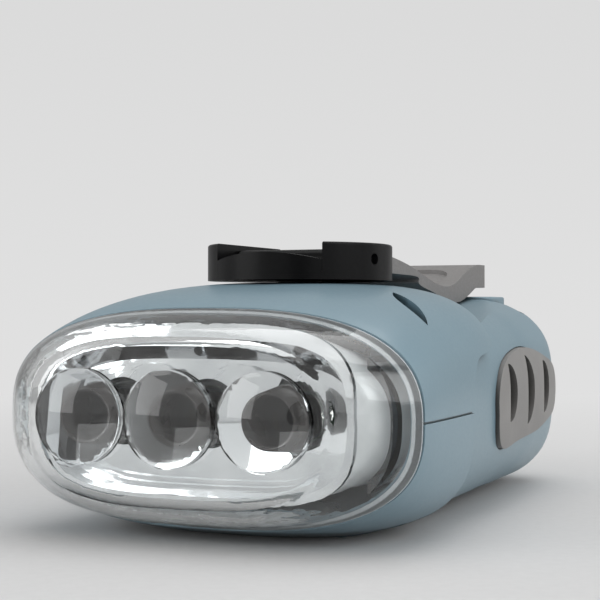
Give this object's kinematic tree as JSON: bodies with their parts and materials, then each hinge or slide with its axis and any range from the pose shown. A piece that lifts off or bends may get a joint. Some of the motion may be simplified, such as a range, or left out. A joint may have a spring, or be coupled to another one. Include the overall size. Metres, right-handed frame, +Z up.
{
  "type": "hand crank flashlight",
  "caption": "Hand crank flashlight with a wide clear lensed front, a fold-out crank arm on a turning hub, a gear train driving a small generator, and grooved side grips",
  "frame": {"origin": "centre of the bounding box on its underside, where the flashlight rests", "axes": "+X is the right side seen from the front, +Y points to the tail and the lenses face -Y, +Z is up"},
  "size_m": [0.0622, 0.1108, 0.0412],
  "materials": {
    "shell_plastic": "satin moulded ABS",
    "clear_plastic": "clear moulded polycarbonate",
    "seal_rubber": "thin seal",
    "plated_plastic": "vacuum plated",
    "frame_plastic": "pale moulded plastic",
    "black_plastic": "satin moulded ABS",
    "grey_plastic": "fine textured moulding",
    "grip_rubber": "soft overmoulded pads",
    "steel": "bright steel",
    "bronze": "sintered bronze",
    "gear_plastic": "natural acetal",
    "magnet": "sintered ferrite",
    "core_steel": "zinc plated pressing",
    "coil_wire": "enamelled copper winding",
    "board": "coated laminate",
    "diode_epoxy": "clear epoxy",
    "cell_steel": "nickel plated",
    "black_parts": "moulded plastic",
    "can_aluminium": "sleeved can"
  },
  "bodies": {
    "housing": {"upper_shell": "shell_plastic", "lower_shell": "shell_plastic", "lens_cover": "clear_plastic", "rim_seal": "seal_rubber", "reflector": "plated_plastic", "reflector_frame": "frame_plastic", "diode_board_spacers": "frame_plastic", "grip_right": "grip_rubber", "grip_left": "grip_rubber", "idler_axle_1": "steel", "idler_axle_2": "steel", "rotor_axle": "steel", "housing_screws": "steel", "plate_screws": "steel", "gear_plate": "steel", "shaft_bush": "bronze", "stator_core": "core_steel", "stator_coil": "coil_wire", "diode_board": "board", "control_board": "board", "diode_1": "diode_epoxy", "diode_2": "diode_epoxy", "diode_3": "diode_epoxy", "battery": "cell_steel", "battery_cradle": "black_parts", "diode_bridge": "black_parts", "switch_body": "black_parts", "capacitor": "can_aluminium"},
    "crank": {"crank_hub": "black_plastic", "crank_shaft": "steel", "shaft_clip": "steel", "fold_pin": "steel", "drive_gear": "gear_plastic"},
    "arm": {"crank_arm": "grey_plastic", "crank_neck": "black_plastic", "knob_rivet": "steel"},
    "knob": {"crank_knob": "grey_plastic"},
    "idler_1": {"idler_gear_1": "gear_plastic"},
    "idler_2": {"idler_gear_2": "gear_plastic"},
    "rotor": {"generator_rotor": "gear_plastic", "rotor_magnet": "magnet"},
    "switch": {"switch_slider": "black_parts"}
  },
  "joints": [
    {"name": "crank_spin", "type": "hinge", "parent": "housing", "child": "crank", "pos_m": [0, -0.0117, 0], "axis": [0, 0, 1], "continuous": true},
    {"name": "arm_fold", "type": "hinge", "parent": "crank", "child": "arm", "pos_m": [0, -0.0154, 0.0388], "axis": [1, 0, 0], "range_deg": [0, 150]},
    {"name": "knob_spin", "type": "hinge", "parent": "arm", "child": "knob", "pos_m": [0, 0.0421, 0], "axis": [0, 0, 1], "continuous": true},
    {"name": "switch_slide", "type": "slide", "parent": "housing", "child": "switch", "axis": [0, 1, 0], "range_m": [0, 0.004]},
    {"name": "idler_1_spin", "type": "hinge", "parent": "housing", "child": "idler_1", "pos_m": [0.00803, 0.00921, 0], "axis": [0, 0, 1], "continuous": true},
    {"name": "idler_2_spin", "type": "hinge", "parent": "housing", "child": "idler_2", "pos_m": [-0.00668, 0.02155, 0], "axis": [0, 0, 1], "continuous": true},
    {"name": "rotor_spin", "type": "hinge", "parent": "housing", "child": "rotor", "pos_m": [0.00341, 0.03597, 0], "axis": [0, 0, 1], "continuous": true}
  ],
  "couplings": [
    {"joint": "idler_1_spin", "follows": "crank_spin", "ratio": -3.6667},
    {"joint": "idler_2_spin", "follows": "crank_spin", "ratio": 11},
    {"joint": "rotor_spin", "follows": "crank_spin", "ratio": -29.333}
  ]
}
